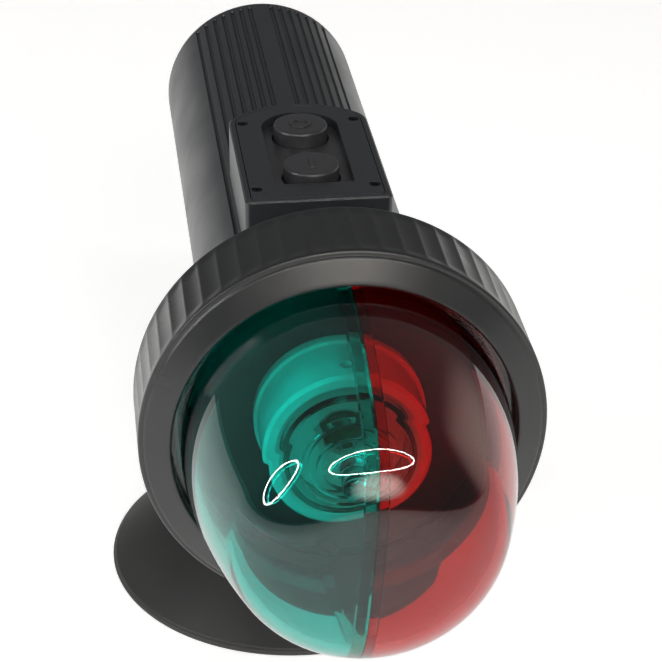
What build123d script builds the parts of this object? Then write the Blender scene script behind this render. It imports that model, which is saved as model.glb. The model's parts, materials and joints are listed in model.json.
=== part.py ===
from build123d import *
from math import cos, radians, sin
import os

# A battery navigation light: a round handle with a two-colour dome at its front, on a tilting
# bracket and a suction cup. Millimetres, +Z up, the dome points along -Y. The origin is the
# centre of the cup's rim, on the surface that it stands on.
#
# The lamp above the bracket is drawn in its own frame and then put in place: that frame's
# origin is the centre of the ring's front edge, and its Y axis runs back along the handle.

# ---- driving dimensions ----
axis_height = 82.0          # handle axis above the standing surface
ring_front = -85.0          # Y of the ring's front edge, ahead of the cup's centre

handle_radius = 21.0
handle_length = 152.7       # from the ring's front edge to the handle's closed end
bore_radius = 17.4          # battery tube
bore_end = 149.5
groove_pitch = 1.95         # lengthwise grip grooves, measured across
groove_count = 7            # on each side of the plain middle band
groove_first = 2.4          # first groove's distance from the middle
groove_radius = 0.5

ring_radius = 35.0
ring_depth = 17.0
ring_bore = 31.8
ring_lip = 0.8              # the lip's inner face
opening_radius = 29.4
crown_height = 2.3          # how far the ring's face swells forward at the opening
flute_count = 56
flute_radius = 1.5
flute_depth = 0.4
bell_radius = 31.3          # the handle's wide front end, inside the ring
bell_front = 4.6
bell_back = 18.2
shoulder_end = 29.5
lug_radius = 32.8
lug_start = 9.0
lug_end = 12.0
lug_angle = 20.0
lug_gap = 0.3
ring_turn = 40.0            # from locked to released

dome_radius = 28.04
dome_length = 41.85         # how far the dome stands ahead of the ring's front edge
dome_side_radius = 90.65
dome_corner_radius = 16.15
dome_crown_radius = 82.2
lens_wall = 2.0
lens_flange_radius = 30.9
lens_flange_front = 1.1
lens_flange_back = 3.1
lens_turn = 3.8             # the lens sits this many degrees round from upright
seam_offset = -1.0          # the joint stands a little to the green side of the axis
seam_gap = 0.06             # the glued joint between the halves
seam_rib = 1.8              # bonding rib along the joint, its thickness in each half
seam_rib_depth = 1.6
seal_inner = 28.6
seal_outer = 30.6

carrier_front = 7.0
carrier_back = 10.0
carrier_radius = 28.0
carrier_plug_end = 17.8
holder_radius = 14.5
holder_front = -6.0
cap_radius = 11.6
cap_step_radius = 8.6
cap_tip_radius = 6.2
cap_wall = 1.1
led_radius = 2.4
led_tip = -19.0
board_radius = 9.5
board_front = 3.6

cell_radius = 16.6          # D cell
cell_length = 61.5
cell_nub = 1.8
cells_front = 18.4

switch_top = 26.8           # above the handle axis
switch_half_width = 13.3
switch_front = 36.4
switch_corner = 72.6        # where the straight sides end
switch_rear = 79.8
plate_thickness = 1.8
plate_margin = 1.3
plate_gap = 0.15
window_half_width = 7.3
window_front = 43.4
window_side_end = 69.3
window_rear = 75.4
cavity_margin = 2.6
cavity_floor = 18.6
board_top = 19.8
button_radius = 5.15
button_flange = 6.2
button_places = {"off_button": 67.3, "on_button": 49.4}
button_top = 28.0
button_travel = 1.5
mark_height = 0.25
mark_half_length = 2.1
mark_half_width = 0.4
keypad_bottom = 24.2
screw_inset = 2.6
plate_screw_radius = 0.7

cup_radius = 39.3
cup_rim = 1.4
cup_rim_width = 2.8
cup_neck_radius = 12.0
cup_top = 19.0
hollow_height = 9.0
stud_radius = 3.0

pivot_height = 45.0
pivot_radius = 2.5
running_gap = 0.06
ear_inner = 6.6
ear_outer = 12.0
ear_radius = 8.0
fork_top = 24.0
saddle_bottom = 54.0
pad_bottom = 58.0
saddle_screw_y = 11.5
knob_radius = 11.0

lamp_place = Location((0, ring_front, axis_height))
os.makedirs("parts", exist_ok=True)


# ---- helpers ----
def turned(*outline):
    """Solid turned about the lamp's axis from points of (radius, distance behind the ring's front)."""
    return revolve(make_face(Polyline(*outline, close=True)), Axis.Y)


def rod(radius, start, end, x=0.0, z=0.0):
    """Cylinder along Y."""
    return Pos(x, (start + end) / 2, z) * Cylinder(radius, end - start, rotation=(90, 0, 0))


def post(radius, low, high, x=0.0, y=0.0):
    """Upright cylinder."""
    return Pos(x, y, (low + high) / 2) * Cylinder(radius, high - low)


def bar(radius, left, right, y=0.0, z=0.0):
    """Cylinder along X."""
    return Pos((left + right) / 2, y, z) * Cylinder(radius, right - left, rotation=(0, 90, 0))


def block(low, high):
    """Box between two corners."""
    size = [b - a for a, b in zip(low, high)]
    middle = [(a + b) / 2 for a, b in zip(low, high)]
    return Pos(*middle) * Box(*size)


def hexagon(across_flats, length):
    """Hexagonal prism that stands on the XY plane."""
    return extrude(RegularPolygon(across_flats / 2, 6, major_radius=False), length)


def coil(radius, wire, low, high, turns):
    """Upright coil spring whose wire stays between low and high."""
    height = high - low - 2 * wire
    path = Helix(height / turns, height, radius)
    section = Plane(origin=path @ 0, z_dir=path % 0) * Circle(wire)
    spring = sweep(section, path=path, is_frenet=True)
    return Pos(0, 0, low + wire) * spring


def save(name, *solids):
    """Write one node; several solids stay separate in it."""
    shape = solids[0] if len(solids) == 1 else Compound(children=list(solids))
    export_step(shape, f"parts/{name}.step")


def save_lamp(name, *solids):
    """Write one node that is drawn in the lamp's own frame."""
    save(name, *[lamp_place * solid for solid in solids])


# ---- head ----
def sagitta(radius, reach):
    """How far an arc that starts square to its radius has fallen away after reach."""
    return radius - (radius ** 2 - reach ** 2) ** 0.5


def dome_side(wall, back):
    """Half outline of the dome, wall inside its skin: a long side arc that is widest at the
    ring's front edge, a round corner and a flatter crown."""
    radius = dome_radius - wall
    length = dome_length - wall
    side_radius = dome_side_radius - wall
    crown_radius = dome_crown_radius - wall
    edge_front = -length
    for _ in range(20):  # settles on the point where the side arc meets the crown
        edge_radius = radius - sagitta(side_radius, edge_front)
        edge_front = sagitta(crown_radius, edge_radius) - length
    base = radius - sagitta(side_radius, back)
    outline = [
        RadiusArc((base, back), (edge_radius, edge_front), side_radius),
        RadiusArc((edge_radius, edge_front), (0, -length), crown_radius),
        Line((0, -length), (0, back)),
        Line((0, back), (base, back)),
    ]
    half = make_face(outline)
    tip = half.vertices().sort_by_distance((edge_radius, edge_front, 0))[0]
    return fillet(tip, dome_corner_radius - wall)


def inner_dome(wall):
    """Space inside the dome, its wall thick, open at the back."""
    return revolve(dome_side(wall, 6.0), Axis.Y)


def lens_half(side):
    """One tinted half: shell, flange and the bonding rib along the joint. side is -1 or +1."""
    thick = lens_flange_back - lens_flange_front
    middle = lens_flange_front + thick / 2
    flange = Pos(lens_flange_radius / 2, middle) * Rectangle(lens_flange_radius, thick)
    shell = dome_side(0, lens_flange_back)
    outer = revolve(shell + flange, Axis.Y)
    own_side = beyond(seam_offset + side * seam_gap / 2, side)
    past_rib = beyond(seam_offset + side * seam_rib, side)
    hollow = (inner_dome(lens_wall) & past_rib) + inner_dome(lens_wall + seam_rib_depth)
    return Rot(0, lens_turn, 0) * ((outer & own_side) - hollow)


def beyond(place, side):
    """Everything on one side of an upright plane across X."""
    reach = 80
    far = side * reach
    return block((min(place, far), -reach, -reach), (max(place, far), reach, reach))


def lens_ring():
    """Screw-off ring: crowned face, fluted side, bayonet channel inside."""
    ring = turned(
        (opening_radius, ring_lip),
        (opening_radius, -crown_height + 0.5),
        (opening_radius + 0.5, -crown_height),
        (ring_radius - 2.6, -crown_height + 1.15),
        (ring_radius - 0.5, -0.1),
        (ring_radius, 0.5),
        (ring_radius - 0.25, ring_depth - 0.4),
        (ring_radius - 0.65, ring_depth),
        (ring_bore, ring_depth),
        (ring_bore, ring_lip),
    )
    flute = rod(flute_radius, 1.6, ring_depth - 1.4, x=ring_radius + flute_radius - flute_depth)
    flutes = [Rot(0, 360 * i / flute_count, 0) * flute for i in range(flute_count)]
    channel_radius = lug_radius + lug_gap
    channel = rod(channel_radius, lug_start - lug_gap, lug_end + lug_gap) - rod(ring_bore, 0, ring_depth)
    stopped = [Rot(0, 120 * i, 0) * lug_wedge(lug_angle + ring_turn + 2, -ring_turn / 2, channel_radius)
               for i in range(3)]
    entries = [Rot(0, 120 * i, 0) * entry_slot(channel_radius) for i in range(3)]
    return ring - flutes - [channel & wedge for wedge in stopped] - entries


def lug_wedge(angle, middle, radius):
    """Sector of a disc about the lamp's axis, angle degrees wide, its middle turned by middle."""
    half = radians(angle / 2)
    far = 2 * radius
    corners = ((0, 0), (far * cos(half), far * sin(half)), (far, 0), (far * cos(half), -far * sin(half)))
    face = Plane.XZ * make_face(Polyline(*corners, close=True))
    wedge = extrude(face, 40, both=True)
    return Rot(0, -middle, 0) * wedge


def entry_slot(radius):
    """Lengthwise slot from the ring's back edge to its channel, where a lug comes out."""
    ringed = rod(radius, lug_start, ring_depth + 1) - rod(ring_bore - 0.1, 0, ring_depth + 2)
    return ringed & lug_wedge(lug_angle + 2, -ring_turn, radius)


def lens_seal():
    """Flat rubber ring between the lens flange and the bell."""
    return turned(
        (seal_inner, lens_flange_back),
        (seal_outer, lens_flange_back),
        (seal_outer, bell_front),
        (seal_inner, bell_front),
    )


def lamp_carrier():
    """Black disc that closes the battery tube and carries the lamp."""
    disc = turned(
        (0, carrier_front),
        (carrier_radius, carrier_front),
        (carrier_radius, carrier_back),
        (bore_radius - 0.2, carrier_back),
        (bore_radius - 0.2, carrier_plug_end),
        (bore_radius - 2.0, carrier_plug_end),
        (bore_radius - 2.0, carrier_back),
        (0, carrier_back),
    )
    return disc - rod(1.6, 0, 20)


def lamp_holder():
    """Stepped drum with a rim, a well for the cap and a boss for the lamp."""
    drum = turned(
        (4.0, board_front),
        (board_radius + 0.1, board_front),
        (board_radius + 0.1, carrier_front),
        (holder_radius + 0.6, carrier_front),
        (holder_radius + 0.6, carrier_front - 2.0),
        (holder_radius, carrier_front - 2.0),
        (holder_radius, holder_front + 0.6),
        (holder_radius - 0.6, holder_front),
        (cap_radius + 0.9, holder_front),
        (cap_radius + 0.1, holder_front + 0.8),
        (cap_radius + 0.1, 0),
        (5.2, 0),
        (4.0, 1.4),
    )
    vent = post(1.1, 10, 20, y=-2.0)
    return drum - vent


def lamp_cap():
    """Clear stepped cap around the lamp, a thin shell."""
    hole = led_radius + 0.5
    return turned(
        (cap_radius, 0),
        (cap_radius, holder_front - 0.8),
        (cap_radius - 1.0, holder_front - 1.4),
        (cap_step_radius, holder_front - 1.4),
        (cap_step_radius, holder_front - 3.0),
        (cap_tip_radius, holder_front - 3.0),
        (cap_tip_radius, holder_front - 4.4),
        (hole, holder_front - 4.4),
        (hole, holder_front - 3.4),
        (cap_tip_radius - cap_wall, holder_front - 3.4),
        (cap_tip_radius - cap_wall, holder_front - 2.0),
        (cap_step_radius - cap_wall, holder_front - 2.0),
        (cap_step_radius - cap_wall, holder_front - 0.4),
        (cap_radius - cap_wall, holder_front - 0.4),
        (cap_radius - cap_wall, 0),
    )


def led_lamp():
    """Bullet lamp with a collar and two legs down to its board."""
    shoulder = led_tip + led_radius
    body = rod(led_radius, shoulder, -9.6) + Pos(0, shoulder, 0) * Sphere(led_radius)
    collar = rod(led_radius + 0.35, -10.4, -9.4)
    legs = [rod(0.3, -9.5, board_front, x=offset) for offset in (-1.27, 1.27)]
    return body + collar + legs


def led_board():
    return rod(board_radius, board_front, board_front + 1.4)


def front_contact():
    """Brass spring leaf on the plug: a disc with a pressed centre that meets the front cell."""
    return turned(
        (0, carrier_plug_end + 0.2),
        (5.0, carrier_plug_end + 0.2),
        (6.5, carrier_plug_end - 0.6),
        (15.2, carrier_plug_end - 0.6),
        (15.2, carrier_plug_end - 1.1),
        (6.2, carrier_plug_end - 1.1),
        (4.8, carrier_plug_end - 0.3),
        (0, carrier_plug_end - 0.3),
    )


# ---- handle ----
def switch_outline(inset):
    """Plan of the switch housing: square front, straight sides, arched rear with round corners."""
    half = switch_half_width - inset
    front = switch_front + inset
    rear = switch_rear - inset
    outline = [
        Line((half, switch_corner), (half, front)),
        Line((half, front), (-half, front)),
        Line((-half, front), (-half, switch_corner)),
        ThreePointArc((-half, switch_corner), (0, rear), (half, switch_corner)),
    ]
    face = make_face(outline)
    corners = face.vertices().group_by(Axis.Y)
    face = fillet(corners[-1], 5.0 - inset)
    return fillet(face.vertices().group_by(Axis.Y)[0], 1.0)


def window_outline():
    outline = [
        Line((window_half_width, window_side_end), (window_half_width, window_front)),
        Line((window_half_width, window_front), (-window_half_width, window_front)),
        Line((-window_half_width, window_front), (-window_half_width, window_side_end)),
        ThreePointArc((-window_half_width, window_side_end), (0, window_rear),
                      (window_half_width, window_side_end)),
    ]
    return fillet(make_face(outline).vertices().group_by(Axis.Y)[0], 0.4)


def raised(face, low, high):
    return extrude(Pos(0, 0, low) * face, high - low)


def plate_screw_places():
    """Four screws, one near each corner of the plate."""
    across = switch_half_width - screw_inset
    return [(sign * across, y) for sign in (-1, 1) for y in (switch_front + 5.4, switch_corner - 1.5)]


def handle_shell():
    """Outer form: closed tube, shoulder and the wide bell inside the ring."""
    outline = Polyline(
        (0, bell_front),
        (bell_radius, bell_front),
        (bell_radius, bell_back),
        (handle_radius, shoulder_end),
        (handle_radius, handle_length),
        (0, handle_length),
        close=True,
    )
    face = make_face(outline)
    places = {
        (bell_radius, bell_back): 3.0,
        (handle_radius, shoulder_end): 7.0,
        (handle_radius, handle_length): 3.2,
    }
    for (x, y), radius in places.items():
        corner = face.vertices().sort_by_distance((x, y, 0))[0]
        face = fillet(corner, radius)
    return revolve(face, Axis.Y)


def groove_cutters():
    """Fine lengthwise grooves on both sides of the plain band along the top."""
    cutters = []
    for i in range(groove_count):
        across = groove_first + i * groove_pitch
        height = (handle_radius ** 2 - across ** 2) ** 0.5
        for sign in (-1, 1):
            groove = rod(groove_radius, 32.0, handle_length - 4.5, x=sign * across, z=height)
            tip = Pos(sign * across, handle_length - 4.5, height) * Sphere(groove_radius)
            cutters += [groove, tip]
    return cutters


def handle_body():
    housing = raised(switch_outline(0), 10, switch_top)
    housing = chamfer(housing.faces().sort_by(Axis.Z)[-1].edges(), 0.3)
    pad = block((-10.5, 68.5, pad_bottom - axis_height), (10.5, 101.5, -10))
    lugs = rod(lug_radius, lug_start, lug_end)
    lugs = [lugs & Rot(0, 120 * i, 0) * lug_wedge(lug_angle, 0, lug_radius) for i in range(3)]
    body = handle_shell() - groove_cutters() + housing + pad + lugs
    body = body - rod(bore_radius, 0, bore_end)
    body = body - rod(carrier_radius + 0.1, 0, carrier_back)
    recess = raised(switch_outline(plate_margin - plate_gap), switch_top - plate_thickness, switch_top + 1)
    cavity = raised(switch_outline(cavity_margin), cavity_floor, switch_top)
    strip_slot = block((-3.2, 0, -bore_radius - 0.9), (3.2, bore_end, -10))
    lead_slot = block((-2.2, 0, 10), (2.2, 41.5, bore_radius + 0.7))
    lead_riser = block((-2.2, 40.3, 10), (2.2, 41.5, cavity_floor + 1))
    body = body - recess - cavity - strip_slot - lead_slot - lead_riser
    for x, y in plate_screw_places():
        body = body - post(plate_screw_radius, switch_top - 7, switch_top, x, y)
    for sign in (-1, 1):
        y = -ring_front + sign * saddle_screw_y
        body = body - post(1.75, pad_bottom - axis_height - 1, -handle_radius + 2.2, 0, y)
    return body


def cover_plate():
    plate = raised(switch_outline(plate_margin), switch_top - plate_thickness, switch_top)
    plate = plate - raised(window_outline(), 0, 40)
    for x, y in plate_screw_places():
        plate = plate - post(plate_screw_radius + 0.15, 0, 40, x, y)
        plate = plate - post(1.05, switch_top - 0.7, 40, x, y)
    return plate


def cover_screws():
    """Four small screws, their heads just under the plate's face."""
    screws = []
    for x, y in plate_screw_places():
        head = post(1.0, switch_top - 0.7, switch_top - 0.15, x, y)
        cross = block((x - 0.6, y - 0.12, switch_top - 0.4), (x + 0.6, y + 0.12, switch_top))
        cross = cross + block((x - 0.12, y - 0.6, switch_top - 0.4), (x + 0.12, y + 0.6, switch_top))
        shank = post(plate_screw_radius, switch_top - 6.5, switch_top - 0.7, x, y)
        screws.append(head - cross + shank)
    return screws


def keypad_sheet():
    """Rubber sheet under the plate: the floor around the buttons, with a rim that seals."""
    top = switch_top - plate_thickness
    sheet = raised(switch_outline(cavity_margin + 0.1), keypad_bottom, top)
    rim = raised(switch_outline(cavity_margin + 0.1), board_top, keypad_bottom)
    rim = rim - raised(switch_outline(cavity_margin + 1.5), 0, 40)
    sheet = sheet + rim
    for y in button_places.values():
        sheet = sheet - post(button_radius + 0.3, 0, 40, 0, y)
    for x, y in plate_screw_places():
        sheet = sheet - post(plate_screw_radius + 0.2, 0, 40, x, y)
    return sheet


def push_button(y):
    """Round button with a retaining flange and a short plunger."""
    cap = post(button_radius, keypad_bottom - 0.6, button_top, 0, y)
    cap = fillet(cap.edges().sort_by(Axis.Z)[-1], 0.6)
    flange = post(button_flange, keypad_bottom - 1.6, keypad_bottom - 0.3, 0, y)
    plunger = post(1.8, board_top + button_travel + 0.1, keypad_bottom - 1, 0, y)
    return cap + flange + plunger


def on_mark(y):
    """Raised bar, the usual sign for on."""
    low = button_top - 0.2
    high = button_top + mark_height
    front = y - mark_half_length
    rear = y + mark_half_length
    return block((-mark_half_width, front, low), (mark_half_width, rear, high))


def off_mark(y):
    """Raised ring, the usual sign for off."""
    low = button_top - 0.2
    high = button_top + mark_height
    inner = mark_half_length - 2 * mark_half_width
    return post(mark_half_length, low, high, 0, y) - post(inner, low - 1, high + 1, 0, y)


def button_spring(y):
    return Pos(0, y, 0) * coil(4.2, 0.25, board_top, keypad_bottom - 1.6, 3)


def switch_board():
    board = raised(switch_outline(cavity_margin + 0.1), cavity_floor, board_top)
    return board - block((-2.2, 0, 0), (2.2, 41.5, 40))


def switch_leads():
    """Brass lead from the switch board forward along the top of the tube to the lamp carrier."""
    low = bore_radius + 0.1
    lead = block((-1.8, 12.0, low), (1.8, 41.2, low + 0.4))
    riser = block((-1.8, 40.8, low), (1.8, 41.2, board_top))
    return lead + riser


def contact_strip():
    """Brass strip along the bottom of the tube, from the rear spring to the lamp carrier."""
    low = -bore_radius - 0.7
    strip = block((-3.0, 12.0, low), (3.0, bore_end, low + 0.4))
    tail = block((-3.0, bore_end - 0.4, low), (3.0, bore_end, -6.0))
    return strip + tail


def cell(front):
    """D cell with its raised contact to the front."""
    back = front + cell_length
    case_front = front + cell_nub
    crimp = 0.8
    return turned(
        (0, front),
        (4.75, front),
        (4.75, case_front),
        (cell_radius - crimp, case_front),
        (cell_radius, case_front + crimp),
        (cell_radius, back - crimp),
        (cell_radius - crimp, back),
        (0, back),
    )


def battery_spring():
    """Coil spring between the rear cell and the closed end."""
    back = cells_front + 2 * cell_length
    spring = coil(8.0, 0.6, back, bore_end - 0.5, 3.5)
    return Rot(-90, 0, 0) * spring


# ---- bracket and cup ----
def suction_cup():
    """Rubber cup: flat rim, dished underside, convex top and a neck around the stud."""
    rim_inner = cup_radius - cup_rim_width
    outside = [
        Line((rim_inner, 0), (cup_radius, 0)),
        Line((cup_radius, 0), (cup_radius, cup_rim)),
        ThreePointArc((cup_radius, cup_rim), (27.5, 8.6), (cup_neck_radius + 1.5, 13.0)),
        Line((cup_neck_radius + 1.5, 13.0), (cup_neck_radius, 14.2)),
        Line((cup_neck_radius, 14.2), (cup_neck_radius, cup_top)),
        Line((cup_neck_radius, cup_top), (0, cup_top)),
        Line((0, cup_top), (0, hollow_height)),
        ThreePointArc((0, hollow_height), (22.0, 5.6), (rim_inner, 0)),
    ]
    cup = revolve(Plane.XZ * make_face(outside), Axis.Z)
    return cup - cup_stud()


def cup_stud():
    """Stud with a wide foot, moulded into the cup's neck."""
    return post(9.0, 11.0, 13.0) + post(stud_radius, 12.5, fork_top + 8.2)


def stud_washer():
    return post(6.0, fork_top + 0.1, fork_top + 1.1) - post(stud_radius, 0, 60)


def stud_nut():
    nut = Pos(0, 0, fork_top + 1.1) * hexagon(10.0, 5.0)
    return nut - post(stud_radius, 0, 60)


def side_profile(foot_half, foot_height, eye_radius):
    """Side view of an ear or tongue: a foot that narrows to a round eye at the pivot."""
    foot = Pos(0, foot_height) * Rectangle(2 * foot_half, 2)
    eye = Pos(0, pivot_height) * Circle(eye_radius)
    return make_hull((foot + eye).edges())


def plate_across(face, left, right):
    """Side view made a plate that stands across X."""
    return extrude(Plane.YZ.offset(left) * face, right - left)


def swivel_fork():
    """Turning base with two ears; it turns on the stud."""
    base = post(15.5, cup_top + 0.3, fork_top)
    base = chamfer(base.edges().group_by(Axis.Z)[-1], 0.8)
    profile = side_profile(11.0, fork_top - 2.0, ear_radius)
    ears = plate_across(profile, -ear_outer, -ear_inner) + plate_across(profile, ear_inner, ear_outer)
    fork = base + ears
    fork = fork - post(stud_radius + running_gap, 0, 40)
    fork = fork - bar(pivot_radius, -40, 40, z=pivot_height)
    hex_pocket = Pos(-ear_outer - 0.1, 0, pivot_height) * Rot(0, 90, 0) * hexagon(8.0, 2.1)
    return fork - hex_pocket


def tilt_saddle():
    """Upper half of the bracket: a plate screwed to the handle and a tongue between the ears."""
    plate = block((-10.5, -16.5, saddle_bottom), (10.5, 16.5, pad_bottom))
    plate = fillet(plate.edges().filter_by(Axis.Z), 3.0)
    profile = side_profile(9.0, saddle_bottom, ear_radius - 0.5)
    tongue = plate_across(profile, -ear_inner + 1.0, ear_inner - 1.0)
    saddle = plate + (tongue & block((-20, -20, 0), (20, 20, pad_bottom)))
    saddle = saddle - bar(pivot_radius + running_gap, -40, 40, z=pivot_height)
    for sign in (-1, 1):
        y = sign * saddle_screw_y
        saddle = saddle - post(1.9, 0, 80, 0, y) - post(3.4, 0, saddle_bottom + 2.2, 0, y)
    return saddle


def saddle_screws():
    """Two pan-head screws up through the saddle into the handle's pad."""
    screws = []
    for sign in (-1, 1):
        y = sign * saddle_screw_y
        head = post(3.2, saddle_bottom - 0.2, saddle_bottom + 2.2, 0, y)
        slot = block((-0.4, y - 2.2, saddle_bottom - 1), (0.4, y + 2.2, saddle_bottom + 0.8))
        cross = block((-2.2, y - 0.4, saddle_bottom - 1), (2.2, y + 0.4, saddle_bottom + 0.8))
        shank = post(1.75, saddle_bottom + 2.2, axis_height - handle_radius + 2.0, 0, y)
        screws.append(head - slot - cross + shank)
    return screws


def pivot_bolt():
    """Hex bolt through ears and tongue into the knob."""
    head = Pos(-ear_outer, 0, pivot_height) * Rot(0, 90, 0) * hexagon(8.0, 2.0)
    cap = Pos(-ear_outer - 1.5, 0, pivot_height) * Rot(0, 90, 0) * hexagon(8.0, 1.5)
    return head + cap + bar(pivot_radius, -ear_outer + 1, 23.0, z=pivot_height)


def pivot_washers():
    """Two friction washers, one each side of the tongue."""
    washers = []
    for sign in (-1, 1):
        inner = sign * (ear_inner - 0.9)
        outer = sign * ear_inner
        low, high = min(inner, outer), max(inner, outer)
        ring = bar(6.5, low, high, z=pivot_height) - bar(pivot_radius, -40, 40, z=pivot_height)
        washers.append(ring)
    return washers


def clamp_knob():
    """Lobed knob on the bolt's end."""
    body = bar(knob_radius, 14.5, 25.0, z=pivot_height)
    body = fillet(body.edges().filter_by(GeomType.CIRCLE), 1.5)
    hub = bar(6.0, ear_outer + 0.1, 15.0, z=pivot_height)
    knob = body + hub
    for i in range(6):
        angle = radians(60 * i)
        y = 13.4 * cos(angle)
        z = pivot_height + 13.4 * sin(angle)
        knob = knob - bar(4.4, 10, 30, y, z)
    return knob - knob_insert_space()


def knob_insert_space():
    pocket = Pos(ear_outer + 0.1, 0, pivot_height) * Rot(0, 90, 0) * hexagon(8.0, 9.0)
    return pocket + bar(pivot_radius + 0.3, ear_outer, 23.5, z=pivot_height)


def knob_insert():
    """Brass hexagon moulded into the knob."""
    insert = Pos(ear_outer + 0.1, 0, pivot_height) * Rot(0, 90, 0) * hexagon(8.0, 9.0)
    return insert - bar(pivot_radius + running_gap, 0, 40, z=pivot_height)


# ---- write every node ----
save("suction_cup", suction_cup())
save("cup_stud", cup_stud())
save("stud_washer", stud_washer())
save("stud_nut", stud_nut())
save("swivel_fork", swivel_fork())
save("tilt_saddle", tilt_saddle())
save("saddle_screws", *saddle_screws())
save("pivot_bolt", pivot_bolt())
save("pivot_washers", *pivot_washers())
save("clamp_knob", clamp_knob())
save("knob_insert", knob_insert())

save_lamp("handle_body", handle_body())
save_lamp("cover_plate", cover_plate())
save_lamp("cover_screws", *cover_screws())
save_lamp("keypad_sheet", keypad_sheet())
save_lamp("switch_board", switch_board())
save_lamp("switch_leads", switch_leads())
for name, y in button_places.items():
    mark = on_mark(y) if name == "on_button" else off_mark(y)
    save_lamp(name, push_button(y) + mark)
    save_lamp(name.replace("button", "spring"), button_spring(y))

save_lamp("lens_ring", lens_ring())
save_lamp("green_lens", lens_half(-1))
save_lamp("red_lens", lens_half(1))
save_lamp("lens_seal", lens_seal())
save_lamp("lamp_carrier", lamp_carrier())
save_lamp("lamp_holder", lamp_holder())
save_lamp("lamp_cap", lamp_cap())
save_lamp("led_lamp", led_lamp())
save_lamp("led_board", led_board())
save_lamp("front_contact", front_contact())
save_lamp("battery_front", cell(cells_front))
save_lamp("battery_rear", cell(cells_front + cell_length))
save_lamp("battery_spring", battery_spring())
save_lamp("contact_strip", contact_strip())
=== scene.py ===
import json
import bmesh
import bpy
import numpy as np
from mathutils import Matrix, Vector


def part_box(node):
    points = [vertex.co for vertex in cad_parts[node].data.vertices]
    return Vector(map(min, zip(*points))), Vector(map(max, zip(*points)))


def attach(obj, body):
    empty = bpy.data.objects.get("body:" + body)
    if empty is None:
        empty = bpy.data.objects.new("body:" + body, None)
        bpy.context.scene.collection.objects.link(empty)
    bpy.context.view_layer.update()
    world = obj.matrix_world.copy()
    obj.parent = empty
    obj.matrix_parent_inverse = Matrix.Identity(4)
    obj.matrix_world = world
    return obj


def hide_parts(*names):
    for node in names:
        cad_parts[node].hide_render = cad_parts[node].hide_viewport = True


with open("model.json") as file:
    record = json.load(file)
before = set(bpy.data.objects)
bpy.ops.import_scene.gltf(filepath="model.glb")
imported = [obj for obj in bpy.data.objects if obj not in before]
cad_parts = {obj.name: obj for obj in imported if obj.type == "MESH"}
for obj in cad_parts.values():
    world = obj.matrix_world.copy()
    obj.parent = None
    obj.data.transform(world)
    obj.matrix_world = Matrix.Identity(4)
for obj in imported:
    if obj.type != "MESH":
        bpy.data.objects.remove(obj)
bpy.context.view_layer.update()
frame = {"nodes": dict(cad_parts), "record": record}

millimetre = 0.001


def linearColour(hexColour):
    # sRGB hex to linear RGBA: c / 12.92 below 0.04045, else ((c + 0.055) / 1.055) to the power 2.4
    value = np.array([int(hexColour[i:i + 2], 16) for i in (1, 3, 5)]) / 255
    linear = np.where(value <= 0.04045, value / 12.92, ((value + 0.055) / 1.055) ** 2.4)
    return (*[float(part) for part in linear], 1.0)


def addNode(tree, kind, sockets=None, **settings):
    # one node with its settings; a socket given another node's output is linked to it
    node = tree.nodes.new("ShaderNode" + kind)
    for name, setting in settings.items():
        setattr(node, name, setting)
    for socket, value in (sockets or {}).items():
        if isinstance(value, bpy.types.NodeSocket):
            tree.links.new(value, node.inputs[socket])
        else:
            node.inputs[socket].default_value = value
    return node


def newMaterial(name):
    # empty material with its output, and the object's own coordinates in millimetres
    material = bpy.data.materials.new(name)
    material.use_nodes = True
    tree = material.node_tree
    tree.nodes.clear()
    output = addNode(tree, "OutputMaterial")
    coordinates = addNode(tree, "TexCoord").outputs["Object"]
    place = addNode(tree, "Mapping", {"Vector": coordinates, "Scale": (1000, 1000, 1000)})
    return material, tree, output, place.outputs["Vector"]


def roundedLoop(corners, arcPoints=7):
    # closed outline from (across, along, rounding) corners: each corner becomes an arc that touches
    # its two sides, its centre on the corner's bisector at rounding / sin(half the corner's angle)
    corners = np.array(corners, float)
    here = corners[:, :2]
    size = np.maximum(corners[:, 2:], 0.02)
    before = np.roll(here, 1, axis=0) - here
    after = np.roll(here, -1, axis=0) - here
    before /= np.linalg.norm(before, axis=1, keepdims=True)
    after /= np.linalg.norm(after, axis=1, keepdims=True)
    half = np.arccos(np.clip((before * after).sum(1, keepdims=True), -1, 1)) / 2
    middle = before + after
    centre = here + middle / np.linalg.norm(middle, axis=1, keepdims=True) * size / np.sin(half)
    first = here + before * size / np.tan(half) - centre
    last = here + after * size / np.tan(half) - centre
    sweep = (np.pi - 2 * half)[:, None]
    share = np.linspace(0, 1, arcPoints)[None, :, None]
    arc = np.sin((1 - share) * sweep) * first[:, None] + np.sin(share * sweep) * last[:, None]
    return (centre[:, None] + arc / np.sin(sweep)).reshape(-1, 2)


def filledLoop(loop, step):
    # the same closed outline with more points on its long straight sides, at every step of length
    closed = np.vstack([loop, loop[:1]])
    along = np.concatenate([[0], np.cumsum(np.linalg.norm(np.diff(closed, axis=0), axis=1))])
    places = np.unique(np.concatenate([along[:-1], np.arange(0, along[-1], step)]))
    return np.stack([np.interp(places, along, closed[:, 0]), np.interp(places, along, closed[:, 1])], 1)


def turnedGrid(loop, columns, radial=None):
    # outline carried round an axis: grid of (angle, outline point) as angle, radius and distance along
    angle = np.linspace(0, 2 * np.pi, columns, endpoint=False)[:, None]
    radius = np.broadcast_to(loop[:, 0], (columns, len(loop)))
    along = np.broadcast_to(loop[:, 1], (columns, len(loop)))
    if radial is not None:
        radius = radius + radial(angle, radius, along)
    return angle, radius, along


def lampPoints(angle, radius, along):
    # places round the lamp's axis, which runs back along +Y from the ring's front edge; angle 0 is up
    x = lampAxis["x"] + radius * np.sin(angle) * millimetre
    z = lampAxis["z"] + radius * np.cos(angle) * millimetre
    y = lampAxis["front"] + along * millimetre + 0 * x
    return np.stack([x, y, z], -1)


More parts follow.
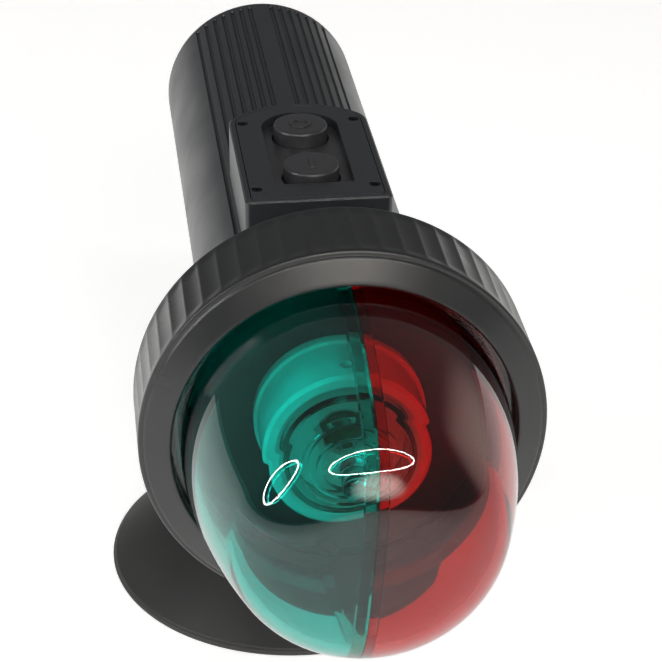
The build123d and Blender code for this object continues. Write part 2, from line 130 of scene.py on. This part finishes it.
def uprightPoints(angle, radius, height):
    # places round the cup's upright axis
    x = radius * np.cos(angle) * millimetre
    y = radius * np.sin(angle) * millimetre
    z = height * millimetre + 0 * x
    return np.stack([x, y, z], -1)


mergeWithin = 1e-6              # points closer than this are one, m
sliverBelow = 1e-7              # edges shorter than this are dropped, m


def meshPiece(name, points, faces, body, replaced, material):
    # one smooth mesh: coincident points merged, slivers and loose parts dropped, faces turned outwards
    mesh = bpy.data.meshes.new(name)
    mesh.from_pydata(points, [], faces)
    build = bmesh.new()
    build.from_mesh(mesh)
    bmesh.ops.remove_doubles(build, verts=build.verts, dist=mergeWithin)
    bmesh.ops.dissolve_degenerate(build, edges=build.edges, dist=sliverBelow)
    loose = [edge for edge in build.edges if not edge.link_faces]
    bmesh.ops.delete(build, geom=loose, context="EDGES")
    bmesh.ops.delete(build, geom=[v for v in build.verts if not v.link_faces], context="VERTS")
    bmesh.ops.recalc_face_normals(build, faces=build.faces)
    openEdges = sum(not edge.is_manifold for edge in build.edges)
    build.to_mesh(mesh)
    build.free()
    print(name, "faces:", len(mesh.polygons), "open edges:", openEdges)
    mesh.polygons.foreach_set("use_smooth", np.ones(len(mesh.polygons), bool))
    mesh.materials.append(material)
    piece = bpy.data.objects.new(name, mesh)
    bpy.context.scene.collection.objects.link(piece)
    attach(piece, body)
    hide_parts(*replaced)
    return piece


def closedFaces(rows, columns):
    # grid closed both ways: the quad of each point, the one beside, the one after that and the one after
    i, j = np.meshgrid(np.arange(rows), np.arange(columns), indexing="ij")
    after, beside = (i + 1) % rows, (j + 1) % columns
    corners = [i * columns + j, i * columns + beside, after * columns + beside, after * columns + j]
    return np.stack(corners, -1).reshape(-1, 4)


def closedPiece(name, points, body, replaced, material):
    # a piece from a grid closed both ways; big faces lead the normals, so flat sides stay flat
    faces = closedFaces(*points.shape[:2])
    piece = meshPiece(name, points.reshape(-1, 3), faces, body, replaced, material)
    weighted = piece.modifiers.new("flatSidesStayFlat", "WEIGHTED_NORMAL")
    weighted.weight = 80
    return piece


def nodeBox(node):
    # low and high corner of a node's box, as arrays
    low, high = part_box(node)
    return np.array(low), np.array(high)


ringLow, ringHigh = nodeBox("lens_ring")
lampMiddle = (ringLow + ringHigh) / 2
lampAxis = {"x": float(lampMiddle[0]), "z": float(lampMiddle[2])}
crownHeight = 2.3               # the ring's face stands this far ahead of its edge, mm
lampAxis["front"] = float(ringLow[1]) + crownHeight * millimetre


bevelSamples = 4                # rays that round an edge in the shading
mouldedLook = {
    "handle": {"colour": "#1e2023", "worn": "#292c2f", "roughness": 0.36, "grain": 0.30, "depth": 0.010},
    "ring": {"colour": "#17181a", "worn": "#212223", "roughness": 0.30, "grain": 0.24, "depth": 0.006},
    "bracket": {"colour": "#1d1e20", "worn": "#2a2b2c", "roughness": 0.5, "grain": 0.35, "depth": 0.016},
    "rubber": {"colour": "#1c1d1f", "worn": "#333230", "roughness": 0.52, "grain": 0.5, "depth": 0.008},
    "buttons": {"colour": "#232427", "worn": "#37373a", "roughness": 0.34, "grain": 0.25, "depth": 0.004},
    "carrier": {"colour": "#2b2c2d", "worn": "#36383a", "roughness": 0.4, "grain": 0.3, "depth": 0.006},
}


def mouldedFinish(name, look, edge=0.12):
    # moulding grain, a slow drift of tone with handling, and edges that catch the light
    material, tree, output, place = newMaterial(name)
    drift = addNode(tree, "TexNoise", {"Vector": place, "Scale": 0.06, "Detail": 3.0, "Roughness": 0.6})
    grain = addNode(tree, "TexNoise", {"Vector": place, "Scale": 1 / look["grain"], "Detail": 2.0})
    colour = addNode(tree, "MixRGB", {"Fac": drift.outputs["Fac"], "Color1": linearColour(look["colour"]),
                                      "Color2": linearColour(look["worn"])})
    gloss = addNode(tree, "MapRange", {"Value": drift.outputs["Fac"], "From Min": 0.3, "From Max": 0.7,
                                       "To Min": look["roughness"] - 0.05,
                                       "To Max": look["roughness"] + 0.07})
    rounded = addNode(tree, "Bevel", {"Radius": edge * millimetre}, samples=bevelSamples)
    bump = addNode(tree, "Bump", {"Height": grain.outputs["Fac"], "Strength": 1.0,
                                  "Distance": look["depth"] * millimetre,
                                  "Normal": rounded.outputs["Normal"]})
    shader = addNode(tree, "BsdfPrincipled", {"Base Color": colour.outputs["Color"], "IOR": 1.54,
                                              "Roughness": gloss.outputs["Result"],
                                              "Normal": bump.outputs["Normal"]})
    tree.links.new(shader.outputs["BSDF"], output.inputs["Surface"])
    return material


def letLampsThrough(tree, shader, output, tint):
    # each of a wall's two skins passes the square root of the wall's tint to lamp rays
    path = addNode(tree, "LightPath")
    through = addNode(tree, "BsdfTransparent", {"Color": tint})
    mix = addNode(tree, "MixShader", {0: path.outputs["Is Shadow Ray"], 1: shader.outputs["BSDF"],
                                      2: through.outputs["BSDF"]})
    tree.links.new(mix.outputs["Shader"], output.inputs["Surface"])


tintLook = {
    "green": {"passes": (0.03, 0.68, 0.63), "wall": 2.0},
    "red": {"passes": (0.70, 0.055, 0.05), "wall": 2.0},
}


def tintedPolycarbonate(name, look):
    # polished clear mould, the dye is in the plastic: long ways through the wall come out darker.
    # Lamp rays go straight through with the wall's tint once, so the drum inside is lit
    material, tree, output, place = newMaterial(name)
    ripple = addNode(tree, "TexNoise", {"Vector": place, "Scale": 0.09, "Detail": 1.0})
    haze = addNode(tree, "MapRange", {"Value": ripple.outputs["Fac"], "From Min": 0.4, "From Max": 0.7,
                                      "To Min": 0.006, "To Max": 0.02})
    bump = addNode(tree, "Bump", {"Height": ripple.outputs["Fac"], "Strength": 1.0,
                                  "Distance": 0.006 * millimetre})
    shader = addNode(tree, "BsdfPrincipled", {"Base Color": (1, 1, 1, 1), "IOR": 1.585,
                                              "Roughness": haze.outputs["Result"],
                                              "Transmission Weight": 1.0,
                                              "Normal": bump.outputs["Normal"]})
    taken = -np.log(look["passes"]) / (look["wall"] * millimetre)
    density = float(taken.max())
    dye = addNode(tree, "VolumeAbsorption", {"Color": (*[float(c) for c in 1 - taken / density], 1.0),
                                             "Density": density})
    letLampsThrough(tree, shader, output, (*[float(part ** 0.5) for part in look["passes"]], 1.0))
    tree.links.new(dye.outputs["Volume"], output.inputs["Volume"])
    return material


def clearAcrylic():
    # injection-moulded acrylic: water clear, polished, with faint flow lines that bend reflections
    material, tree, output, place = newMaterial("mouldedClearAcrylic")
    flow = addNode(tree, "TexNoise", {"Vector": place, "Scale": 0.4, "Detail": 1.0})
    bump = addNode(tree, "Bump", {"Height": flow.outputs["Fac"], "Strength": 1.0,
                                  "Distance": 0.005 * millimetre})
    shader = addNode(tree, "BsdfPrincipled", {"Base Color": linearColour("#f4fbfa"), "IOR": 1.49,
                                              "Roughness": 0.02, "Transmission Weight": 1.0,
                                              "Normal": bump.outputs["Normal"]})
    letLampsThrough(tree, shader, output, (0.96, 0.98, 0.98, 1.0))
    return material


whiteLook = {"colour": "#f4f5f2", "drift": "#e2e5e2", "roughness": 0.16, "edge": 0.4}


def glossWhiteAbs():
    # white ABS from a polished tool: sharp, bright reflections and softly rounded edges
    material, tree, output, place = newMaterial("polishedWhiteAbs")
    drift = addNode(tree, "TexNoise", {"Vector": place, "Scale": 0.25, "Detail": 2.0})
    colour = addNode(tree, "MixRGB", {"Fac": drift.outputs["Fac"],
                                      "Color1": linearColour(whiteLook["colour"]),
                                      "Color2": linearColour(whiteLook["drift"])})
    rounded = addNode(tree, "Bevel", {"Radius": whiteLook["edge"] * millimetre},
                      samples=bevelSamples)
    shader = addNode(tree, "BsdfPrincipled", {"Base Color": colour.outputs["Color"], "IOR": 1.54,
                                              "Roughness": whiteLook["roughness"],
                                              "Normal": rounded.outputs["Normal"]})
    tree.links.new(shader.outputs["BSDF"], output.inputs["Surface"])
    return material


metalLook = {
    "zincPlatedSteel": {"colour": "#b9bcc0", "stain": "#8f9296", "roughness": 0.32, "grain": 0.5},
    "blackOxideSteel": {"colour": "#2c2d2f", "stain": "#1b1c1d", "roughness": 0.4, "grain": 0.3},
    "drawnSpringWire": {"colour": "#a8a9ab", "stain": "#87888a", "roughness": 0.25, "grain": 0.2},
    "stampedBrass": {"colour": "#d3ae5e", "stain": "#a98644", "roughness": 0.28, "grain": 0.4},
    "printedCellJacket": {"colour": "#9aa0a6", "stain": "#868b91", "roughness": 0.35, "grain": 0.8},
}


def metalFinish(name, look):
    # bright plating or rolled skin, dulled in patches by handling
    material, tree, output, place = newMaterial(name)
    patches = addNode(tree, "TexNoise", {"Vector": place, "Scale": 0.3, "Detail": 4.0})
    grain = addNode(tree, "TexNoise", {"Vector": place, "Scale": 1 / look["grain"], "Detail": 2.0})
    colour = addNode(tree, "MixRGB", {"Fac": patches.outputs["Fac"], "Color1": linearColour(look["colour"]),
                                      "Color2": linearColour(look["stain"])})
    gloss = addNode(tree, "MapRange", {"Value": patches.outputs["Fac"], "From Min": 0.3, "From Max": 0.7,
                                       "To Min": look["roughness"] - 0.06,
                                       "To Max": look["roughness"] + 0.1})
    bump = addNode(tree, "Bump", {"Height": grain.outputs["Fac"], "Strength": 1.0,
                                  "Distance": 0.003 * millimetre})
    shader = addNode(tree, "BsdfPrincipled", {"Base Color": colour.outputs["Color"], "Metallic": 1.0,
                                              "Roughness": gloss.outputs["Result"],
                                              "Normal": bump.outputs["Normal"]})
    tree.links.new(shader.outputs["BSDF"], output.inputs["Surface"])
    return material


def turnedNylon():
    # natural nylon turned from bar: fine turning rings, waxy gloss
    material, tree, output, place = newMaterial("turnedNylon")
    rings = addNode(tree, "TexWave", {"Vector": place, "Scale": 1.2, "Distortion": 0.4}, wave_type="RINGS")
    colour = addNode(tree, "MixRGB", {"Fac": rings.outputs["Fac"], "Color1": linearColour("#e9e8e0"),
                                      "Color2": linearColour("#dcdbd2")})
    shader = addNode(tree, "BsdfPrincipled", {"Base Color": colour.outputs["Color"], "IOR": 1.53,
                                              "Roughness": 0.4})
    tree.links.new(shader.outputs["BSDF"], output.inputs["Surface"])
    return material


def solderResist():
    # glass-epoxy board under green solder resist: glossy, with the weave just showing
    material, tree, output, place = newMaterial("solderResistBoard")
    weave = addNode(tree, "TexChecker", {"Vector": place, "Scale": 2.0, "Color1": linearColour("#1d5a33"),
                                         "Color2": linearColour("#1a5230")})
    shader = addNode(tree, "BsdfPrincipled", {"Base Color": weave.outputs["Color"], "IOR": 1.5,
                                              "Roughness": 0.25})
    tree.links.new(shader.outputs["BSDF"], output.inputs["Surface"])
    return material


finishes = {
    "black_abs": mouldedFinish("mouldedAbs", mouldedLook["handle"]),
    "ring_abs": mouldedFinish("mouldedRingAbs", mouldedLook["ring"]),
    "black_nylon": mouldedFinish("glassFilledNylon", mouldedLook["bracket"], 0.2),
    "cup_rubber": mouldedFinish("mouldedRubber", mouldedLook["rubber"]),
    "button_rubber": mouldedFinish("mouldedSilicone", mouldedLook["buttons"], 0.15),
    "green_polycarbonate": tintedPolycarbonate("greenPolycarbonate", tintLook["green"]),
    "red_polycarbonate": tintedPolycarbonate("redPolycarbonate", tintLook["red"]),
    "white_abs": glossWhiteAbs(),
    "white_nylon": turnedNylon(),
    "clear_acrylic": clearAcrylic(),
    "board": solderResist(),
    "brass": metalFinish("stampedBrass", metalLook["stampedBrass"]),
    "steel": metalFinish("zincPlatedSteel", metalLook["zincPlatedSteel"]),
    "black_steel": metalFinish("blackOxideSteel", metalLook["blackOxideSteel"]),
    "spring_wire": metalFinish("drawnSpringWire", metalLook["drawnSpringWire"]),
    "cell_case": metalFinish("printedCellJacket", metalLook["printedCellJacket"]),
}
carrierFinish = mouldedFinish("mouldedCarrierAbs", mouldedLook["carrier"])

slotOf = {part["node"]: part["material_slot"] for part in frame["record"]["subparts"]}
for nodeName, node in frame["nodes"].items():
    for materialSlot in node.material_slots:
        materialSlot.material = finishes[slotOf[nodeName]]
frame["nodes"]["lamp_carrier"].material_slots[0].material = carrierFinish
print("finishes made:", len(finishes) + 1)


lensRing = {"radius": 35.0, "opening": 29.4, "lip": 0.8, "bore": 31.8, "depth": 17.0,
            "flutes": 56, "fluteDepth": 0.24, "fluteStart": 1.5, "fluteEnd": 15.8, "columns": 784}


def buildLensRing(v):
    # outline: crowned face, small ledge at the edge, fluted side, chamfered back, bore and lip
    outline = [
        (v["opening"], v["lip"], 0.15), (v["opening"], -crownHeight, 0.45),
        (v["radius"] - 1.1, -0.35, 0.8), (v["radius"] - 0.85, 0.05, 0.12), (v["radius"], 0.15, 0.5),
        (v["radius"], v["depth"] - 0.5, 0.4), (v["radius"] - 0.7, v["depth"], 0.3),
        (v["bore"], v["depth"], 0.2), (v["bore"], v["lip"], 0.2),
    ]
    loop = filledLoop(roundedLoop(outline), 0.8)

    def scallops(angle, radius, along):
        # on the side wall only, the radius falls by depth times |cos|^0.8: wide shallow hollows
        # between narrow ridges
        hollow = np.abs(np.cos(angle * v["flutes"] / 2)) ** 0.8
        ends = np.clip(np.minimum(along - v["fluteStart"], v["fluteEnd"] - along) / 1.0, 0, 1)
        side = np.clip((radius - v["radius"] + 0.6) / 0.5, 0, 1)
        return -v["fluteDepth"] * hollow * np.sqrt(ends) * side

    points = lampPoints(*turnedGrid(loop, v["columns"], scallops))
    return closedPiece("lensRing", points, "ring", ["lens_ring"], finishes["ring_abs"])


buildLensRing(lensRing)
print("lens ring made")


lensHalves = {"radius": 28.04, "length": 41.85, "sideRadius": 90.65, "cornerRadius": 16.15,
              "crownRadius": 82.2, "wall": 2.0, "ribWall": 3.6, "ribWidth": 1.8, "seam": -1.0,
              "seamGap": 0.06, "turn": 3.8, "flangeRadius": 30.9, "flangeFront": 1.1, "flangeBack": 3.1,
              "steps": 43, "columns": 140, "ribColumns": 7, "planeRows": 5, "sharpAngle": 35}


def domeSkin(v, wall, ribPlane, seamPlane):
    # three arcs that touch: side round (radius - sideRadius, 0), crown round (0, crownRadius - length)
    # and a corner whose centre is where circles of side - corner and crown - corner about them meet
    sideCentre = np.array((v["radius"] - v["sideRadius"], 0.0))
    crownCentre = np.array((0.0, v["crownRadius"] - v["length"]))
    sideReach = v["sideRadius"] - v["cornerRadius"]
    crownReach = v["crownRadius"] - v["cornerRadius"]
    between = crownCentre - sideCentre
    apart = np.hypot(*between)
    between = between / apart
    along = (sideReach ** 2 - crownReach ** 2 + apart ** 2) / (2 * apart)
    across = np.sqrt(sideReach ** 2 - along ** 2)
    corner = sideCentre + along * between + across * np.array((between[1], -between[0]))
    sideAngle = np.arctan2(*(corner - sideCentre)[::-1])
    crownAngle = np.arctan2(*(corner - crownCentre)[::-1])
    base = np.arcsin(v["flangeBack"] / (v["sideRadius"] - wall))
    skin = []
    for centre, size, start, end in ((sideCentre, v["sideRadius"], base, sideAngle),
                                     (corner, v["cornerRadius"], sideAngle, crownAngle)):
        angle = np.linspace(start, end, v["steps"] + 1)[:, None]
        skin.append(centre + (size - wall) * np.hstack([np.cos(angle), np.sin(angle)]))
    # the crown's rows stand at radii that land on the rib's and the seam's planes in every skin
    near, far = sorted((ribPlane, abs(seamPlane)))
    radii = np.concatenate([np.linspace(skin[1][-1, 0], far, v["steps"])[1:],
                            np.linspace(far, near, v["planeRows"])[1:],
                            np.linspace(near, max(seamPlane, 0), v["planeRows"])[1:]])
    crown = np.stack([radii, crownCentre[1] - np.sqrt((v["crownRadius"] - wall) ** 2 - radii ** 2)], 1)
    return np.vstack([skin[0], skin[1][1:], crown])


def lensSheet(v, skinOf, side, ribPlane, seamPlane):
    # rows down the skin, columns from seam to seam; a column's angle puts it on the seam's or the
    # rib's plane by asin(plane / radius), and evenly between the two ribs
    share = np.linspace(0, 1, v["ribColumns"])
    parts = []
    for zone, wall in (("top", v["ribWall"]), ("middle", v["wall"]), ("low", v["ribWall"])):
        skin = skinOf(wall)
        radius = np.maximum(skin[:, :1], 1e-9)
        seamAngle = np.arcsin(np.clip(seamPlane / radius, -1, 1))
        ribAngle = np.arcsin(np.clip(ribPlane / radius, -1, 1))
        if zone == "middle":
            angle = ribAngle + (np.pi - 2 * ribAngle) * np.linspace(0, 1, v["columns"])
        elif zone == "top":
            angle = seamAngle + (ribAngle - seamAngle) * share
        else:
            angle = np.pi - ribAngle + (ribAngle - seamAngle) * share
        parts.append(lampPoints(side * angle + np.radians(v["turn"]), skin[:, :1], skin[:, 1:]))
    return np.concatenate(parts, axis=1)


def buildLensHalf(v, side, name, node, slot):
    # outer sheet with the flange, inner sheet with the thicker rib, and the two faces on the seam
    seamPlane = side * v["seam"] + v["seamGap"] / 2
    ribPlane = side * v["seam"] + v["ribWidth"]
    skinOf = {wall: domeSkin(v, wall, ribPlane, seamPlane) for wall in (0.0, v["wall"], v["ribWall"])}
    aheadOfFlange = skinOf[0.0][skinOf[0.0][:, 1] < v["flangeFront"]]
    foot = v["radius"] - v["sideRadius"] + np.sqrt(v["sideRadius"] ** 2 - v["flangeFront"] ** 2)
    flange = np.array([(v["flangeRadius"], v["flangeBack"]), (v["flangeRadius"], v["flangeFront"]),
                       (foot, v["flangeFront"])])
    padding = 4 + len(aheadOfFlange) - len(skinOf[0.0])

    def outerOf(wall):
        return np.vstack([skinOf[wall][:1], flange, aheadOfFlange])

    def innerOf(wall):
        # its first row repeated, so that both sheets' rows keep step
        return np.vstack([np.repeat(skinOf[wall][:1], padding, axis=0), skinOf[wall]])

    outer = lensSheet(v, outerOf, side, ribPlane, seamPlane)
    inner = lensSheet(v, innerOf, side, ribPlane, seamPlane)
    rows, columns = outer.shape[:2]
    i, j = np.meshgrid(np.arange(rows - 1), np.arange(columns - 1), indexing="ij")
    first = i * columns + j
    ends = outerOf(v["wall"])[1:, 0]
    # nearer the middle than the rib's plane, only the two rib zones are left
    between = (j >= v["ribColumns"] - 1) & (j < v["ribColumns"] + v["columns"])
    first = first[~(between & (ends[i] < ribPlane - 1e-6))]
    sheet = np.stack([first, first + 1, first + columns + 1, first + columns], 1)
    onSeam = np.arange(rows - 1)[ends >= abs(seamPlane) - 1e-6] * columns
    shift = rows * columns
    faces = [sheet, sheet[:, ::-1] + shift]
    for end in (0, columns - 1):
        edge = onSeam + end
        faces.append(np.stack([edge, edge + columns, edge + columns + shift, edge + shift], 1))
    points = np.concatenate([outer.reshape(-1, 3), inner.reshape(-1, 3)])
    piece = meshPiece(name, points, np.concatenate(faces), "lamp", [node], finishes[slot])
    piece.data.set_sharp_from_angle(angle=np.radians(v["sharpAngle"]))
    return piece


buildLensHalf(lensHalves, 1, "redLensHalf", "red_lens", "red_polycarbonate")
buildLensHalf(lensHalves, -1, "greenLensHalf", "green_lens", "green_polycarbonate")
print("lens halves made")


suctionCup = {"radius": 39.3, "rim": 1.4, "rimWidth": 2.8, "neck": 12.0, "shoulder": 13.0, "top": 19.0,
              "hollow": 9.0, "topPower": 1.6, "hollowPower": 1.92, "columns": 360}


def buildSuctionCup(v):
    # top falls from the neck to the rim as 1 - u^topPower, the hollow as 1 - u^hollowPower
    neckFoot = v["neck"] + 1.5
    rimInside = v["radius"] - v["rimWidth"]
    u = np.linspace(0, 1, 48)
    top = np.stack([neckFoot + (v["radius"] - 0.25 - neckFoot) * u,
                    v["rim"] - 0.1 + (v["shoulder"] - v["rim"] + 0.1) * (1 - u ** v["topPower"])], 1)
    bead = np.linspace(0.5 * np.pi, -0.5 * np.pi, 10)[1:-1]
    rimMiddle = (v["rim"] - 0.1) / 2
    lip = np.stack([v["radius"] - 0.62 + 0.62 * np.cos(bead), rimMiddle + rimMiddle * np.sin(bead)], 1)
    hollow = np.stack([rimInside * (1 - u), v["hollow"] * (1 - (1 - u) ** v["hollowPower"])], 1)
    neck = np.array([(0, v["top"]), (v["neck"] - 0.5, v["top"]), (v["neck"] - 0.15, v["top"] - 0.12),
                     (v["neck"], v["top"] - 0.5), (v["neck"], v["shoulder"] + 1.6),
                     (v["neck"] + 0.3, v["shoulder"] + 0.8), (v["neck"] + 0.8, v["shoulder"] + 0.25)])
    foot = np.array([(v["radius"] - 0.7, 0.0), (rimInside + 0.2, 0.0)])
    loop = np.vstack([neck, top, lip, foot, hollow])
    points = uprightPoints(*turnedGrid(loop, v["columns"]))
    return closedPiece("suctionCup", points, "cup", ["suction_cup"], finishes["cup_rubber"])


buildSuctionCup(suctionCup)
print("suction cup made")


studio = {"floorColour": "#f2f2f1", "floorDrift": "#efefee", "floorSize": 6.0, "floorGap": 0.0001,
          "world": "#f1f2f3", "worldStrength": 0.20, "tableGlow": 0.55}

# soft lobes of light in the surroundings: direction, half width to the middle and the edge in
# degrees, brightness
softLobes = {
    "front": {"towards": (0.12, -0.90, 0.42), "inner": 3, "outer": 18, "brightness": 6.0,
              "colour": "#fff8ee"},
    "right": {"towards": (1.0, 0.35, 0.12), "inner": 6, "outer": 30, "brightness": 0.9,
              "colour": "#fff6ea"},
}


def addLobe(tree, direction, light, v):
    # smooth step of the angle from the lobe's middle, added to the light so far
    towards = Vector(v["towards"]).normalized()
    near = addNode(tree, "VectorMath", {0: direction, 1: tuple(towards)}, operation="DOT_PRODUCT")
    share = addNode(tree, "MapRange", {"Value": near.outputs["Value"], "To Min": 0.0, "To Max": 1.0,
                                       "From Min": float(np.cos(np.radians(v["outer"]))),
                                       "From Max": float(np.cos(np.radians(v["inner"])))},
                    interpolation_type="SMOOTHSTEP")
    colour = tuple(part * v["brightness"] for part in linearColour(v["colour"])[:3])
    lobe = addNode(tree, "VectorMath", {0: colour, "Scale": share.outputs["Result"]}, operation="SCALE")
    added = addNode(tree, "VectorMath", {0: light, 1: lobe.outputs["Vector"]}, operation="ADD")
    return added.outputs["Vector"]


def buildStudio(v):
    # glowing floor just under the cup, dim pale surroundings with the soft lobes added to them
    half = v["floorSize"] / 2
    around = ((-half, -half), (half, -half), (half, half), (-half, half))
    corners = np.array([(x, y, -v["floorGap"]) for x, y in around])
    mesh = bpy.data.meshes.new("floor")
    mesh.from_pydata(corners, [], [(0, 1, 2, 3)])
    floor = bpy.data.objects.new("floor", mesh)
    bpy.context.scene.collection.objects.link(floor)
    material, tree, output, place = newMaterial("frostedLightTable")
    drift = addNode(tree, "TexNoise", {"Vector": place, "Scale": 0.004})
    colour = addNode(tree, "MixRGB", {"Fac": drift.outputs["Fac"], "Color1": linearColour(v["floorColour"]),
                                      "Color2": linearColour(v["floorDrift"])})
    # frosted acrylic over lamps: it glows by itself, so its far part stays as pale as the near one
    shader = addNode(tree, "BsdfPrincipled", {"Base Color": colour.outputs["Color"], "Roughness": 0.8,
                                              "Emission Color": (1, 1, 1, 1),
                                              "Emission Strength": v["tableGlow"]})
    tree.links.new(shader.outputs["BSDF"], output.inputs["Surface"])
    mesh.materials.append(material)
    world = bpy.data.worlds.new("paleStudio")
    world.use_nodes = True
    tree = world.node_tree
    background = tree.nodes["Background"]
    direction = addNode(tree, "TexCoord").outputs["Generated"]
    base = np.array(linearColour(v["world"])[:3]) * v["worldStrength"]
    light = addNode(tree, "VectorMath", {0: tuple(base), 1: (0, 0, 0)}, operation="ADD").outputs["Vector"]
    for lobe in softLobes.values():
        light = addLobe(tree, direction, light, lobe)
    tree.links.new(light, background.inputs["Color"])
    background.inputs["Strength"].default_value = 1.0
    bpy.context.scene.world = world
    bpy.context.scene.view_settings.view_transform = "Standard"


ringLamps = {
    "leftRingLamp": {"azimuth": -79, "elevation": 25, "distance": 0.55, "halfWidth": 0.10,
                     "halfHeight": 0.17, "tube": 0.007, "brightness": 38.0, "colour": "#ffffff"},
    "frontRingLamp": {"azimuth": 5, "elevation": 53, "distance": 0.60, "halfWidth": 0.32,
                      "halfHeight": 0.13, "tube": 0.006, "brightness": 38.0, "colour": "#fffdf8"},
}


ringLampSteps = {"oval": 96, "tube": 12}


def buildRingLamp(name, v, aim):
    # glowing tube bent to an oval that faces the lamp: oval point plus the tube's circle round it
    azimuth, elevation = np.radians([v["azimuth"], v["elevation"]])
    back = np.array((np.sin(azimuth) * np.cos(elevation), -np.cos(azimuth) * np.cos(elevation),
                     np.sin(elevation)))
    right = np.array((np.cos(azimuth), np.sin(azimuth), 0))
    above = np.cross(back, right)
    above = above if above[2] > 0 else -above
    turn = np.linspace(0, 2 * np.pi, ringLampSteps["oval"], endpoint=False)[:, None, None]
    aroundTube = np.linspace(0, 2 * np.pi, ringLampSteps["tube"], endpoint=False)[None, :, None]
    outward = right * np.cos(turn) + above * np.sin(turn)
    oval = right * np.cos(turn) * v["halfWidth"] + above * np.sin(turn) * v["halfHeight"]
    points = oval + v["tube"] * (outward * np.cos(aroundTube) + back * np.sin(aroundTube))
    points = points + np.array(aim) + back * v["distance"]
    mesh = bpy.data.meshes.new(name)
    mesh.from_pydata(points.reshape(-1, 3), [], closedFaces(*points.shape[:2]))
    lamp = bpy.data.objects.new(name, mesh)
    bpy.context.scene.collection.objects.link(lamp)
    material, tree, output, _ = newMaterial(name + "Glow")
    glow = addNode(tree, "Emission", {"Color": linearColour(v["colour"]), "Strength": v["brightness"]})
    tree.links.new(glow.outputs["Emission"], output.inputs["Surface"])
    mesh.materials.append(material)


cameraLook = {"azimuth": -7.35, "elevation": 29.25, "roll": 0.45, "distance": 0.3565, "lens": 117.74,
              "aimBeside": -0.0025, "aimAbove": 0.0204}


def buildCamera(v):
    # stands back from a point just above the ring's front centre, along azimuth and elevation
    azimuth, elevation, roll = np.radians([v["azimuth"], v["elevation"], v["roll"]])
    level = np.cos(elevation)
    back = Vector((np.sin(azimuth) * level, -np.cos(azimuth) * level, np.sin(elevation)))
    right = Vector((np.cos(azimuth), np.sin(azimuth), 0))
    above = back.cross(right)
    side = right * np.cos(roll) + above * np.sin(roll)
    aim = Vector((lampAxis["x"] + v["aimBeside"], lampAxis["front"], lampAxis["z"] + v["aimAbove"]))
    data = bpy.data.cameras.new("camera")
    data.lens = v["lens"]
    data.sensor_width = 36
    data.clip_start, data.clip_end = 0.01, 20
    camera = bpy.data.objects.new("camera", data)
    turn = Matrix((side, back.cross(side), back)).transposed()
    camera.matrix_world = Matrix.Translation(aim + back * v["distance"]) @ turn.to_4x4()
    bpy.context.scene.collection.objects.link(camera)
    bpy.context.scene.camera = camera


buildStudio(studio)
for lampName, lampLook in ringLamps.items():
    buildRingLamp(lampName, lampLook, (lampAxis["x"], lampAxis["front"] - 0.02, lampAxis["z"]))
buildCamera(cameraLook)
print("studio made")
